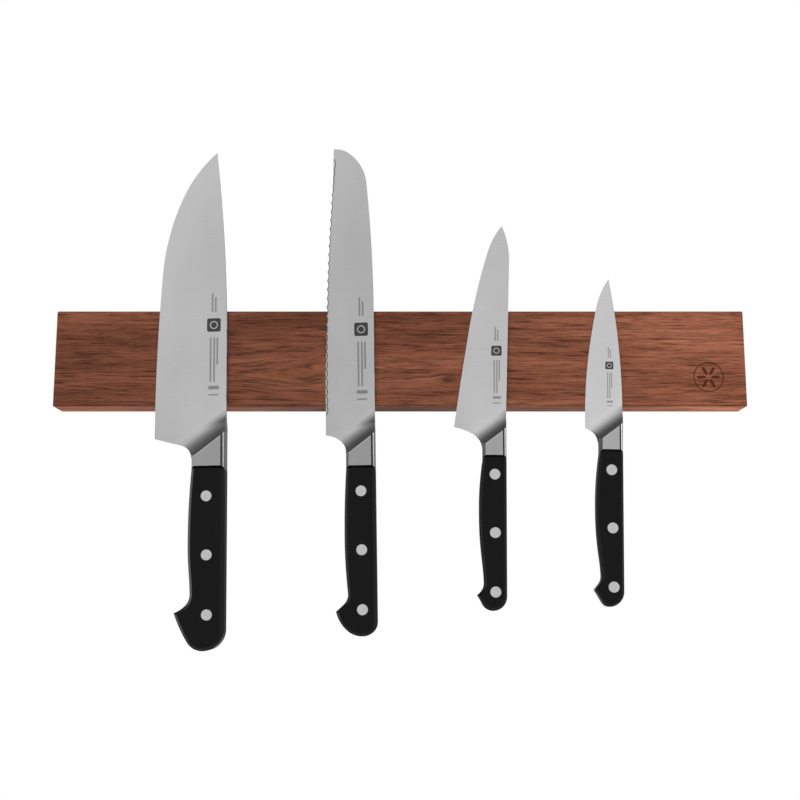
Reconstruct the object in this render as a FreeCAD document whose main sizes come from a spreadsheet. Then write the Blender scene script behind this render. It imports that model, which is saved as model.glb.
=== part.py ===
import FreeCAD, Part
import math
import os
import Sketcher

# A walnut magnetic knife bar with the four forged knives that it holds.
#
# Frame of the whole: origin at the middle of the bar's back, on the wall plane; +X to the
# right, +Y into the wall, +Z up. Each knife is drawn in a frame of its own: origin where
# the spine leaves the bolster, +Z to the tip, the cutting edge towards -X, y = 0 the
# middle plane of the blade. "across" is a distance from the spine line towards the edge.

FRONT = FreeCAD.Rotation(FreeCAD.Vector(1, 0, 0), 90)
FORWARD = FreeCAD.Vector(0, -1, 0)
UPWARD = FreeCAD.Vector(0, 0, 1)

# A cut must take away more than this volume, and points nearer than this count as level.
LEAST_CUT = 1e-6
NEAR = 1e-4

# Places along an edge, as shares of its length, that tell where the edge lies.
EDGE_SHARES = (0.1, 0.5, 0.9)

BAR_SIZES = {
    "bar_length": 468,
    "bar_height": 66,
    "bar_depth": 22,
    "bar_easing": 1.0,
    "fit_gap": 0.1,
    "overrun": 1,
    "cover_length": 400,
    "cover_height": 50,
    "cover_depth": 5,
    "keeper_length": 392,
    "keeper_height": 14,
    "keeper_depth": 2.5,
    "row_offset": 14,
    "magnet_length": 20,
    "magnet_height": 10,
    "magnet_depth": 12,
    "magnet_pitch": 40,
    "magnet_count": 10,
    "plate_offset": 213,
    "plate_width": 16,
    "plate_height": 46,
    "plate_depth": 2,
    "keyhole_entry": 4.5,
    "keyhole_slot": 2.25,
    "keyhole_rise": 10,
    "cavity_width": 12,
    "cavity_height": 21,
    "cavity_centre": 4.5,
    "cavity_depth": 8,
    "screw_head": 3.2,
    "screw_shank": 1.6,
    "screw_head_depth": 1.7,
    "screw_point": 2.5,
    "screw_tip": 0.3,
    "screw_sink": 0.15,
    "screw_slack": 0.03,
    "drive_arm": 1.7,
    "drive_half": 0.4,
    "drive_depth": 1.0,
    "cover_screw_length": 13,
    "cover_screw_pitch": 72,
    "cover_screw_count": 6,
    "keeper_screw_length": 9,
    "keeper_screw_pitch": 160,
    "keeper_screw_count": 3,
    "plate_screw_length": 11,
    "plate_screw_rise": 18,
}

# The cell that holds the length of the screws of each row.
SCREW_LENGTHS = {
    "cover_screws": "cover_screw_length",
    "keeper_screws": "keeper_screw_length",
    "hanger_screws": "plate_screw_length",
}

# Sizes of a knife that are not part of an outline. The seat is where the frame of the
# knife stands on the rack, and the lean is the angle of its tip to the left. The inset is
# how far the spine of the bolster and handle stands in from that of the blade. The slant is
# how much nearer to the spine each rivet stands than the one above it.
KNIFE_SIZES = {
    "chef": {
        "seat_right": -115.6,
        "seat_up": -73.8,
        "lean": 1.0,
        "inset": 0.3,
        "handle_thick": 15.5,
        "tang_thick": 3.4,
        "spine_thick": 3.0,
        "tip_thick": 0.9,
        "rivet_head": 3.9,
        "rivet_across": 11.95,
        "rivet_slant": 0.5,
        "rivet_up": -20.0,
        "rivet_pitch": 38.5,
        "crease_across": 11.3,
        "crease_up": 13.8,
        "flare_length": 15.5,
        "scale_bevel": 1.9,
    },
    "bread": {
        "seat_right": -16.2,
        "seat_up": -73.5,
        "lean": 0.94,
        "inset": 0.1,
        "handle_thick": 15.0,
        "tang_thick": 3.2,
        "spine_thick": 2.8,
        "tip_thick": 1.2,
        "rivet_head": 3.8,
        "rivet_across": 9.55,
        "rivet_slant": 0.08,
        "rivet_up": -17.0,
        "rivet_pitch": 38.5,
        "crease_across": 10.75,
        "crease_up": 13.65,
        "flare_length": 14,
        "scale_bevel": 1.8,
    },
    "utility": {
        "seat_right": 71.1,
        "seat_up": -66.8,
        "lean": -0.62,
        "inset": 0.3,
        "handle_thick": 13.5,
        "tang_thick": 3.0,
        "spine_thick": 2.6,
        "tip_thick": 0.8,
        "rivet_head": 3.8,
        "rivet_across": 8.1,
        "rivet_slant": 0.15,
        "rivet_up": -12.85,
        "rivet_pitch": 38.4,
        "crease_across": 9.15,
        "crease_up": 11.6,
        "flare_length": 12.5,
        "scale_bevel": 1.7,
    },
    "paring": {
        "seat_right": 148.5,
        "seat_up": -63.1,
        "lean": -1.35,
        "inset": 0.25,
        "handle_thick": 13.0,
        "tang_thick": 2.8,
        "spine_thick": 2.3,
        "tip_thick": 0.8,
        "rivet_head": 3.8,
        "rivet_across": 8.05,
        "rivet_slant": 0.48,
        "rivet_up": -13.7,
        "rivet_pitch": 38.3,
        "crease_across": 9.15,
        "crease_up": 11.05,
        "flare_length": 11.5,
        "scale_bevel": 1.5,
    },
}

# Sizes that all the knives share.
SHARED_SIZES = {
    "shoulder": 2.6,
    "bolster_round": 2.6,
    "crease_angle": 36,
    "flare_reach": 45,
    "flare_lip": 2,
    "flare_core": 0.3,
    "flare_sink": 0.06,
    "spine_margin": 3,
    "edge_margin": 60,
    "pin_end_gap": 0.5,
    "rivet_count": 3,
    "tip_margin": 0.5,
    "spine_fade": 4,
    "scallop_length": 4,
    "edge_thick": 0.35,
    "blade_gap": 0.1,
    "sleeve_radius": 3.0,
    "pin_radius": 2.0,
    "head_depth": 1.6,
    "scallop_pitch": 6.19,
    "scallop_count": 29,
    "scallop_radius": 5.8,
    "scallop_depth": 0.95,
    "scallop_flare": 60,
    "scallop_top": 212.2,
}

# An outline is a list of stations: name, across, up, the run to the next station, and
# whether the runs on both sides of the station meet smoothly. A station given by words
# takes its place from those sheet cells.
BLADE_OUTLINES = {
    "chef": (
        ("spine_foot", "chef_inset", "-shoulder", "line", False),
        ("spine_bend", 0.2, 75, "arc", True),
        ("tip", 8.0, 220.2, "arc", False),
        ("edge_front", 30.8, 188.7, "arc", True),
        ("edge_middle", 44.7, 133, "arc", True),
        ("edge_heel", 48.4, 24, "line", True),
        ("heel", 48.4, 19.4, "arc", False),
        ("choil", 31.3, 15, "arc", True),
        ("neck", 22.2, 3.5, "line", True),
        ("neck_foot", "chef_neck_across", "-shoulder", "line", False),
    ),
    "bread": (
        ("spine_foot", "bread_inset", "-shoulder", "line", False),
        ("spine_bend", 0, 105, "arc", True),
        ("spine_front", 3.9, 198, "arc", True),
        ("nose", 16.2, 220.1, "arc", True),
        ("tip", 26.4, 223.1, "line", False),
        ("edge_front", 26.9, 208, "arc", False),
        ("edge_heel", 33.1, 60, "line", True),
        ("heel", 33.1, 21.3, "arc", False),
        ("choil", 24.6, 18.4, "arc", True),
        ("neck", 19.3, 8.5, "line", True),
        ("neck_foot", "bread_neck_across", "-shoulder", "line", False),
    ),
    "utility": (
        ("spine_foot", "utility_inset", "-shoulder", "line", False),
        ("spine_start", 0.3, 28, "line", False),
        ("spine_bend", -2.3, 134, "arc", True),
        ("tip", 2.6, 160, "arc", False),
        ("edge_front", 12.1, 142, "arc", True),
        ("edge_middle", 25.1, 86, "arc", True),
        ("edge_heel", 33.6, 30, "line", True),
        ("heel", 35.1, 19.3, "arc", False),
        ("choil", 21.5, 14.3, "arc", True),
        ("neck", 16.0, 4.5, "line", True),
        ("neck_foot", "utility_neck_across", "-shoulder", "line", False),
    ),
    "paring": (
        ("spine_foot", "paring_inset", "-shoulder", "line", False),
        ("spine_bend", 0, 20, "arc", True),
        ("tip", 8.5, 118.2, "arc", False),
        ("edge_front", 16.9, 98, "arc", True),
        ("edge_middle", 21.4, 71.3, "arc", True),
        ("edge_heel", 24.7, 24, "line", True),
        ("heel", 24.7, 14.8, "arc", False),
        ("choil", 19.8, 12.3, "arc", True),
        ("neck", 15.4, 4, "line", True),
        ("neck_foot", "paring_neck_across", "-shoulder", "line", False),
    ),
}

# Handle: pommel, beak, hook, waist and grip, in that order from the spine. Each pair is
# across and up, and the grip is the straight run at the handle's widest.
HANDLE_PLACES = {
    "chef": {
        "spine_end": (0.3, -106.5),
        "pommel": (11.4, -119.8),
        "pommel_side": (23.9, -114.2),
        "beak": (32.7, -95.5),
        "hook": (25.4, -91),
        "waist": (22.4, -83.5),
        "grip_low": (23.2, -70),
        "grip_foot": (24.1, -50),
        "grip_head": (24.1, -46),
    },
    "bread": {
        "spine_end": (0.1, -102),
        "pommel": (8, -110.9),
        "pommel_side": (19.2, -107.5),
        "beak": (26.7, -95.1),
        "hook": (21.7, -90.6),
        "waist": (18.85, -83.3),
        "grip_low": (19.8, -72),
        "grip_foot": (20.7, -48),
        "grip_head": (20.7, -44),
    },
    "utility": {
        "spine_end": (0.3, -92.5),
        "pommel": (8.5, -101.7),
        "pommel_side": (16.4, -97.3),
        "beak": (19.7, -91.7),
        "hook": (16.6, -88.5),
        "waist": (15.15, -83.5),
        "grip_low": (16.3, -70),
        "grip_foot": (18.35, -38),
        "grip_head": (18.35, -34),
    },
    "paring": {
        "spine_end": (0.25, -93),
        "pommel": (8.5, -102.9),
        "pommel_side": (14.0, -100.4),
        "beak": (19.0, -92.2),
        "hook": (16.1, -88.3),
        "waist": (14.35, -82.5),
        "grip_low": (15.55, -71),
        "grip_foot": (17.8, -40),
        "grip_head": (17.8, -36),
    },
}
HANDLE_RUNS = {
    "spine_end": ("arc", True),
    "pommel": ("arc", True),
    "pommel_side": ("arc", True),
    "beak": ("arc", False),
    "hook": ("arc", True),
    "waist": ("arc", True),
    "grip_low": ("arc", True),
    "grip_foot": ("line", True),
    "grip_head": ("arc", True),
}

doc = FreeCAD.newDocument("KnifeRack")
sheet = doc.addObject("Spreadsheet::Sheet", "Dimensions")


# ---- the sheet of driving dimensions -------------------------------------------------


def all_dimensions():
    """Every driving dimension by its alias."""
    sizes = dict(BAR_SIZES)
    sizes.update(SHARED_SIZES)
    for knife, own in KNIFE_SIZES.items():
        for name, value in own.items():
            sizes[f"{knife}_{name}"] = value
        for name, across, up, _run, _smooth in BLADE_OUTLINES[knife]:
            for side, value in (("across", across), ("up", up)):
                if not isinstance(value, str):
                    sizes[f"{knife}_{name}_{side}"] = value
        for name, (across, up) in HANDLE_PLACES[knife].items():
            sizes[f"{knife}_{name}_across"] = across
            sizes[f"{knife}_{name}_up"] = up
    return sizes


def fill_sheet(sizes):
    for row, (alias, value) in enumerate(sizes.items(), start=1):
        sheet.set(f"A{row}", alias)
        sheet.set(f"B{row}", str(value))
        sheet.setAlias(f"B{row}", alias)
    doc.recompute()


def size(alias):
    """The value of one cell."""
    return float(getattr(sheet, alias))


def cell(words):
    """The expression for a formula in which each word is a cell of the sheet."""
    out = []
    for token in words.replace("(", " ( ").replace(")", " ) ").split():
        sign = "-" if token.startswith("-") and len(token) > 1 else ""
        name = token[len(sign):]
        known = name[:1].isalpha() and hasattr(sheet, name)
        out.append(f"{sign}Dimensions.{name}" if known else token)
    return " ".join(out).replace(" ( ", "(")


def worth(words):
    """The value of a formula of cells."""
    return float(sheet.evalExpression(cell(words)))


def bind(thing, prop, words):
    """Binds a property to a formula of cells."""
    thing.setExpression(prop, cell(words))


# ---- sketches ------------------------------------------------------------------------


def plane_of(body, role):
    """One of a body's origin planes."""
    for feature in body.Origin.OriginFeatures:
        if feature.Role == role:
            return feature
    raise ValueError(role)


def body_sketch(body, name, role="XZ_Plane", raised="0"):
    """A sketch on a plane of a body, raised along the plane's normal."""
    sketch = body.newObject("Sketcher::SketchObject", name)
    sketch.AttachmentSupport = [(plane_of(body, role), "")]
    sketch.MapMode = "FlatFace"
    bind(sketch, "AttachmentOffset.Base.z", raised)
    return sketch


def free_sketch(name, rotation=FRONT):
    """A sketch that stands on its own."""
    sketch = doc.addObject("Sketcher::SketchObject", name)
    sketch.Placement = FreeCAD.Placement(FreeCAD.Vector(), rotation)
    return sketch


def hold(sketch, kind, words, *ends):
    """Adds a dimension to a sketch and binds it to a formula."""
    index = sketch.addConstraint(Sketcher.Constraint(kind, *ends, worth(words)))
    label = f"size{index}"
    sketch.renameConstraint(index, label)
    bind(sketch, f"Constraints.{label}", words)


def pin_point(sketch, geometry, end, right, up):
    """Holds one point of a sketch at a place given by two formulas."""
    hold(sketch, "DistanceX", right, -1, 1, geometry, end)
    hold(sketch, "DistanceY", up, -1, 1, geometry, end)


def arc_through(start, direction, finish):
    """Centre and radius of the arc that leaves start along direction and ends at finish,
    and whether it turns to the left."""
    chord = finish - start
    left = FreeCAD.Vector(-direction.y, direction.x, 0)
    offset = chord.dot(left)
    radius = chord.dot(chord) / (2 * offset)
    return start + left * radius, abs(radius), offset > 0


def direction_at(centre, point, turns_left):
    """Direction of travel of an arc at one of its points."""
    spoke = point - centre
    ahead = FreeCAD.Vector(-spoke.y, spoke.x, 0)
    return (ahead if turns_left else ahead * -1).normalize()


def solve_runs(points, runs, smooth):
    """For each run, its direction of travel at its start and finish, and its arc."""
    total = len(points)
    solved = [None] * total
    for i in range(total):
        if runs[i] == "line":
            way = (points[(i + 1) % total] - points[i]).normalize()
            solved[i] = (way, way, None)
    while None in solved:
        before = solved.count(None)
        for i in range(total):
            if solved[i]:
                continue
            start, finish = points[i], points[(i + 1) % total]
            last, following = solved[i - 1], solved[(i + 1) % total]
            if last and smooth[i]:
                arc = arc_through(start, last[1], finish)
            elif following and smooth[(i + 1) % total]:
                centre, radius, left = arc_through(finish, following[0] * -1, start)
                arc = (centre, radius, not left)
            else:
                continue
            centre, _radius, left = arc
            ways = [direction_at(centre, p, left) for p in (start, finish)]
            solved[i] = (ways[0], ways[1], arc)
        if solved.count(None) == before:
            raise ValueError("an arc has no smooth neighbour")
    return solved


def add_run(sketch, start, finish, arc):
    """Adds a line or an arc and returns its index and the ids of its two ends."""
    if arc is None:
        return sketch.addGeometry(Part.LineSegment(start, finish), False), 1, 2
    centre, radius, left = arc
    first, last = (start, finish) if left else (finish, start)
    angles = [math.atan2(p.y - centre.y, p.x - centre.x) for p in (first, last)]
    circle = Part.Circle(centre, UPWARD, radius)
    index = sketch.addGeometry(Part.ArcOfCircle(circle, *angles), False)
    return (index, 1, 2) if left else (index, 2, 1)


def draw_outline(sketch, stations):
    """Draws a closed outline. A station is: right and up as formulas, the run to the next
    station, and whether the outline is smooth there."""
    points = [FreeCAD.Vector(worth(s[0]), worth(s[1]), 0) for s in stations]
    runs = [s[2] for s in stations]
    smooth = [s[3] for s in stations]
    solved = solve_runs(points, runs, smooth)
    total = len(points)
    drawn = []
    for i in range(total):
        drawn.append(add_run(sketch, points[i], points[(i + 1) % total], solved[i][2]))
    for i in range(total):
        index, start, _finish = drawn[i]
        last, _start, last_end = drawn[i - 1]
        kind = "Tangent" if smooth[i] else "Coincident"
        sketch.addConstraint(Sketcher.Constraint(kind, last, last_end, index, start))
    for i, station in enumerate(stations):
        pin_point(sketch, drawn[i][0], drawn[i][1], station[0], station[1])


def draw_polygon(sketch, corners):
    """Draws straight runs between corners given by formulas."""
    draw_outline(sketch, [(right, up, "line", False) for right, up in corners])


def draw_box(sketch, width, height, right="0", up="0"):
    """Draws an upright rectangle about a centre."""
    sides = (f"{right} - ({width}) / 2", f"{right} + ({width}) / 2")
    ends = (f"{up} - ({height}) / 2", f"{up} + ({height}) / 2")
    draw_polygon(
        sketch,
        [
            (sides[0], ends[0]),
            (sides[1], ends[0]),
            (sides[1], ends[1]),
            (sides[0], ends[1]),
        ],
    )


def draw_circle(sketch, radius, right="0", up="0"):
    centre = FreeCAD.Vector(worth(right), worth(up), 0)
    index = sketch.addGeometry(Part.Circle(centre, UPWARD, worth(radius)), False)
    hold(sketch, "Radius", radius, index)
    pin_point(sketch, index, 3, right, up)


# ---- features ------------------------------------------------------------------------


def new_body(label):
    body = doc.addObject("PartDesign::Body", label)
    body.Label = label
    body.AllowCompound = True
    return body


def pad(body, sketch, depth):
    feature = body.newObject("PartDesign::Pad", f"{sketch.Name}_pad")
    feature.Profile = sketch
    bind(feature, "Length", depth)
    sketch.Visibility = False
    doc.recompute()
    return feature


def pocket(body, sketch, depth, into_wall=False):
    """Cuts a sketch out of a body, and makes sure that it does cut. Pockets go towards
    the front of the object unless they go into the wall."""
    before = body.Shape.Volume
    feature = body.newObject("PartDesign::Pocket", f"{sketch.Name}_pocket")
    feature.Profile = sketch
    feature.Reversed = not into_wall
    bind(feature, "Length", depth)
    doc.recompute()
    if body.Shape.Volume >= before - LEAST_CUT:
        raise ValueError(f"{feature.Name} cuts nothing")
    return feature


def repeat(body, feature, axis, length, count):
    """Repeats a feature along an axis of its sketch."""
    pattern = body.newObject("PartDesign::LinearPattern", f"{feature.Name}_row")
    pattern.Originals = [feature]
    pattern.Direction = axis
    bind(pattern, "Length", length)
    bind(pattern, "Occurrences", count)
    body.Tip = pattern
    doc.recompute()
    return pattern


def extrude(name, sketch, length, direction=None):
    """A solid that spreads the same way to both sides of a sketch."""
    solid = doc.addObject("Part::Extrusion", name)
    solid.Base = sketch
    solid.DirMode = "Custom" if direction else "Normal"
    if direction:
        solid.Dir = direction
    solid.Symmetric = True
    solid.Solid = True
    bind(solid, "LengthFwd", length)
    doc.recompute()
    return solid


def join(name, pieces):
    solid = doc.addObject("Part::MultiFuse", name)
    solid.Shapes = pieces
    doc.recompute()
    return solid


def common(name, base, tool):
    solid = doc.addObject("Part::Common", name)
    solid.Base = base
    solid.Tool = tool
    doc.recompute()
    return solid


def cut(name, base, tool):
    """Cuts one solid from another, and makes sure that something goes."""
    solid = doc.addObject("Part::Cut", name)
    solid.Base = base
    solid.Tool = tool
    doc.recompute()
    if solid.Shape.Volume >= base.Shape.Volume - LEAST_CUT:
        raise ValueError(f"{name} cuts nothing")
    return solid


def group(label, members):
    """One node of separate solids."""
    compound = doc.addObject("Part::Compound", label)
    compound.Label = label
    compound.Links = members
    doc.recompute()
    return compound


def edges_on(shape, test):
    """Names of the edges that are not full circles and whose points pass a test."""
    names = []
    for index, edge in enumerate(shape.Edges, start=1):
        if len(edge.Vertexes) < 2:
            continue
        first = edge.FirstParameter
        span = edge.LastParameter - first
        samples = [edge.valueAt(first + share * span) for share in EDGE_SHARES]
        if all(test(point) for point in samples):
            names.append(f"Edge{index}")
    return names


# ---- the bar -------------------------------------------------------------------------


def ease_block(body, feature):
    """Rounds every edge of the wooden block by a little."""
    fillet = body.newObject("PartDesign::Fillet", "bar_easing")
    fillet.Base = (feature, edges_on(feature.Shape, lambda point: True))
    bind(fillet, "Radius", "bar_easing")
    doc.recompute()


def screw_places():
    """The (right, up, seat) formulas of every screw, by the name of its row. The seat is
    the depth, from the back, of the surface that the head is sunk in."""
    rows = {"cover_screws": [], "keeper_screws": [], "hanger_screws": []}
    for i in range(int(size("cover_screw_count"))):
        step = i - (size("cover_screw_count") - 1) / 2
        rows["cover_screws"].append((f"{step} * cover_screw_pitch", "0", "0"))
    for side in ("-", ""):
        for i in range(int(size("keeper_screw_count"))):
            step = i - (size("keeper_screw_count") - 1) / 2
            place = (f"{step} * keeper_screw_pitch", f"{side}row_offset", "cover_depth")
            rows["keeper_screws"].append(place)
        for up in ("-", ""):
            place = (f"{side}plate_offset", f"{up}plate_screw_rise", "0")
            rows["hanger_screws"].append(place)
    return rows


def screw_holes(body, row, places, depth, radius):
    """Drills the holes of a row of screws into a body from the row's seat."""
    sketch = body_sketch(body, f"{body.Name}_{row}", raised=places[0][2])
    for right, up, _seat in places:
        draw_circle(sketch, radius, right, up)
    pocket(body, sketch, depth)


def sink_heads(body, row, places):
    """Countersinks the holes of a row of screws."""
    for number, (right, up, seat) in enumerate(places, start=1):
        sketch = body_sketch(body, f"{body.Name}_{row}_sink{number}", "YZ_Plane", right)
        steps = [
            (f"-({seat}) + overrun", f"{up} + 0"),
            (f"-({seat}) + overrun", f"{up} + screw_head + screw_slack"),
            (f"-({seat}) - screw_sink", f"{up} + screw_head + screw_slack"),
            (f"-({seat}) - screw_sink - screw_head_depth", f"{up} + screw_shank + screw_slack"),
            (f"-({seat}) - screw_sink - screw_head_depth", f"{up} + 0"),
        ]
        draw_polygon(sketch, steps)
        inside = FreeCAD.Vector(worth("-bar_depth"), worth(up), 0)
        outside = FreeCAD.Vector(worth("overrun"), worth(up), 0)
        axis = sketch.addGeometry(Part.LineSegment(inside, outside), True)
        pin_point(sketch, axis, 1, "-bar_depth", up)
        pin_point(sketch, axis, 2, "overrun", up)
        groove = body.newObject("PartDesign::Groove", f"{sketch.Name}_groove")
        groove.Profile = sketch
        groove.ReferenceAxis = (sketch, ["Axis0"])
        groove.Angle = 360
    doc.recompute()


def make_bar_body(rows):
    """The walnut block, milled from behind."""
    body = new_body("bar_body")
    block = body_sketch(body, "bar_block")
    draw_box(block, "bar_length", "bar_height")
    ease_block(body, pad(body, block, "bar_depth"))

    recess = body_sketch(body, "cover_recess")
    draw_box(recess, "cover_length", "cover_height")
    pocket(body, recess, "cover_depth")

    grooves = body_sketch(body, "keeper_grooves", raised="cover_depth")
    pockets = body_sketch(body, "magnet_pockets", raised="cover_depth + keeper_depth")
    for side in ("-", ""):
        draw_box(grooves, "keeper_length", "keeper_height", up=f"{side}row_offset")
        draw_box(
            pockets,
            "magnet_length + 2 * fit_gap",
            "magnet_height + 2 * fit_gap",
            right="-(magnet_count - 1) / 2 * magnet_pitch",
            up=f"{side}row_offset",
        )
    pocket(body, grooves, "keeper_depth")
    first = pocket(body, pockets, "magnet_depth")
    span = "(magnet_count - 1) * magnet_pitch"
    repeat(body, first, (pockets, ["H_Axis"]), span, "magnet_count")

    seats = body_sketch(body, "plate_seats")
    cavities = body_sketch(body, "head_cavities", raised="plate_depth")
    for side in ("-", ""):
        where = f"{side}plate_offset"
        draw_box(seats, "plate_width + 2 * fit_gap", "plate_height + 2 * fit_gap", where)
        draw_box(cavities, "cavity_width", "cavity_height", where, "cavity_centre")
    pocket(body, seats, "plate_depth")
    pocket(body, cavities, "cavity_depth")

    radius = "screw_shank + screw_slack"
    for row, places in rows.items():
        screw_holes(body, row, places, f"{SCREW_LENGTHS[row]} + overrun", radius)
    return body


def make_magnets(label, up):
    """A row of block magnets."""
    body = new_body(label)
    start = "cover_depth + keeper_depth"
    sketch = body_sketch(body, f"{label}_face", raised=start)
    first = "-(magnet_count - 1) / 2 * magnet_pitch"
    draw_box(sketch, "magnet_length", "magnet_height", first, up)
    block = pad(body, sketch, "magnet_depth")
    span = "(magnet_count - 1) * magnet_pitch"
    repeat(body, block, (sketch, ["H_Axis"]), span, "magnet_count")
    return body


def make_keeper(label, up, places):
    """The steel strip that closes the magnetic circuit behind a row of magnets."""
    body = new_body(label)
    sketch = body_sketch(body, f"{label}_face", raised="cover_depth")
    draw_box(sketch, "keeper_length - 2 * fit_gap", "keeper_height - 2 * fit_gap", "0", up)
    pad(body, sketch, "keeper_depth")
    screw_holes(body, "holes", places, "keeper_depth", "screw_shank + screw_slack")
    sink_heads(body, "heads", places)
    return body


def make_back_cover(places):
    """The thin wooden panel that closes the back."""
    body = new_body("back_cover")
    sketch = body_sketch(body, "cover_face")
    draw_box(sketch, "cover_length - 2 * fit_gap", "cover_height - 2 * fit_gap")
    pad(body, sketch, "cover_depth")
    screw_holes(body, "holes", places, "cover_depth", "screw_shank + screw_slack")
    sink_heads(body, "heads", places)
    return body


def draw_keyhole(sketch, where):
    """A round entry with a narrow slot above it, round at its top."""
    low = "(keyhole_entry ^ 2 - keyhole_slot ^ 2) ^ 0.5"
    left, right = (f"{where} {sign} keyhole_slot" for sign in "-+")
    points = [
        FreeCAD.Vector(worth(left), worth(low), 0),
        FreeCAD.Vector(worth(right), worth(low), 0),
        FreeCAD.Vector(worth(right), worth("keyhole_rise"), 0),
        FreeCAD.Vector(worth(left), worth("keyhole_rise"), 0),
    ]
    entry = FreeCAD.Vector(worth(where), 0, 0)
    bottom = entry - FreeCAD.Vector(0, worth("keyhole_entry"), 0)
    top = FreeCAD.Vector(worth(where), worth("keyhole_rise + keyhole_slot"), 0)
    shapes = [
        Part.Arc(points[0], bottom, points[1]),
        Part.LineSegment(points[1], points[2]),
        Part.Arc(points[2], top, points[3]),
        Part.LineSegment(points[3], points[0]),
    ]
    ids = [sketch.addGeometry(shape, False) for shape in shapes]
    for i, shape in enumerate(ids):
        after = ids[(i + 1) % len(ids)]
        sketch.addConstraint(Sketcher.Constraint("Coincident", shape, 2, after, 1))
    hold(sketch, "Radius", "keyhole_entry", ids[0])
    pin_point(sketch, ids[0], 3, where, "0")
    pin_point(sketch, ids[1], 2, right, "keyhole_rise")
    pin_point(sketch, ids[2], 3, where, "keyhole_rise")
    hold(sketch, "DistanceY", "keyhole_rise", -1, 1, ids[3], 1)
    sketch.addConstraint(Sketcher.Constraint("Vertical", ids[1]))
    sketch.addConstraint(Sketcher.Constraint("Vertical", ids[3]))


def make_keyhole_plate(label, side, places):
    """A steel hanger plate, flush with the back."""
    body = new_body(label)
    where = f"{side}plate_offset"
    sketch = body_sketch(body, f"{label}_face")
    draw_box(sketch, "plate_width", "plate_height", where)
    pad(body, sketch, "plate_depth")
    keyhole = body_sketch(body, f"{label}_keyhole")
    draw_keyhole(keyhole, where)
    pocket(body, keyhole, "plate_depth + overrun")
    screw_holes(body, "holes", places, "plate_depth", "screw_shank + screw_slack")
    sink_heads(body, "heads", places)
    return body


def make_screw(name, length, right, up, seat):
    """A countersunk wood screw with a cross drive, its head just below its seat."""
    body = new_body(name)
    sketch = body_sketch(body, f"{name}_profile", "YZ_Plane")
    top = "0 - screw_sink"
    draw_polygon(
        sketch,
        [
            (top, "0"),
            (top, "screw_head"),
            (f"{top} - screw_head_depth", "screw_shank"),
            (f"{top} - {length} + screw_point", "screw_shank"),
            (f"{top} - {length}", "screw_tip"),
            (f"{top} - {length}", "0"),
        ],
    )
    turned = body.newObject("PartDesign::Revolution", f"{name}_turned")
    turned.Profile = sketch
    turned.ReferenceAxis = (sketch, ["H_Axis"])
    turned.Angle = 360
    doc.recompute()
    drive = body_sketch(body, f"{name}_drive")
    corners = []
    for right_sign, up_sign in (("", ""), ("-", ""), ("-", "-"), ("", "-")):
        quarter = [
            (f"{right_sign}drive_arm", f"{up_sign}drive_half"),
            (f"{right_sign}drive_half", f"{up_sign}drive_half"),
            (f"{right_sign}drive_half", f"{up_sign}drive_arm"),
        ]
        corners += quarter if right_sign == up_sign else quarter[::-1]
    draw_polygon(drive, corners)
    pocket(body, drive, "screw_sink + drive_depth")
    for axis, words in zip("xyz", (right, f"-({seat})", up)):
        bind(body, f"Placement.Base.{axis}", words)
    return body


def make_screws(label, places):
    screws = [
        make_screw(f"{label}_{number}", SCREW_LENGTHS[label], *place)
        for number, place in enumerate(places, start=1)
    ]
    return group(label, screws)


def make_bar():
    """Every sub-part of the bar."""
    rows = screw_places()
    half = len(rows["keeper_screws"]) // 2
    plates = len(rows["hanger_screws"]) // 2
    parts = [
        make_bar_body(rows),
        make_magnets("magnets_upper", "row_offset"),
        make_magnets("magnets_lower", "-row_offset"),
        make_keeper("keeper_lower", "-row_offset", rows["keeper_screws"][:half]),
        make_keeper("keeper_upper", "row_offset", rows["keeper_screws"][half:]),
        make_back_cover(rows["cover_screws"]),
        make_keyhole_plate("keyhole_plate_left", "-", rows["hanger_screws"][:plates]),
        make_keyhole_plate("keyhole_plate_right", "", rows["hanger_screws"][plates:]),
    ]
    return parts + [make_screws(label, places) for label, places in rows.items()]


# ---- the knives ----------------------------------------------------------------------


def blade_stations(knife):
    """The outline of a blade and its bolster."""
    stations = []
    for name, across, up, run, smooth in BLADE_OUTLINES[knife]:
        right = across if isinstance(across, str) else f"{knife}_{name}_across"
        rise = up if isinstance(up, str) else f"{knife}_{name}_up"
        stations.append((f"-{right}", rise, run, smooth))
    return stations


def handle_stations(knife):
    """The outline of a handle, with rounded shoulders where it meets the bolster."""
    neck = f"-{knife}_neck_across"
    spine = f"-{knife}_inset"
    stations = [(spine, "-shoulder", "line", False)]
    for name, (run, smooth) in HANDLE_RUNS.items():
        place = (f"-{knife}_{name}_across", f"{knife}_{name}_up")
        stations.append((*place, run, smooth))
    return stations + [
        (neck, "-shoulder", "arc", False),
        (f"{neck} + shoulder", "0", "line", True),
        (f"{spine} - shoulder", "0", "arc", True),
    ]


def spine_at(knife, up):
    """Thickness of the spine at a height: even over most of the blade, thin at the tip."""
    full, end = f"{knife}_spine_thick", f"{knife}_tip_thick"
    return f"{full} - ({full} - {end}) * (({up}) / {knife}_tip_up) ^ spine_fade"


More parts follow.
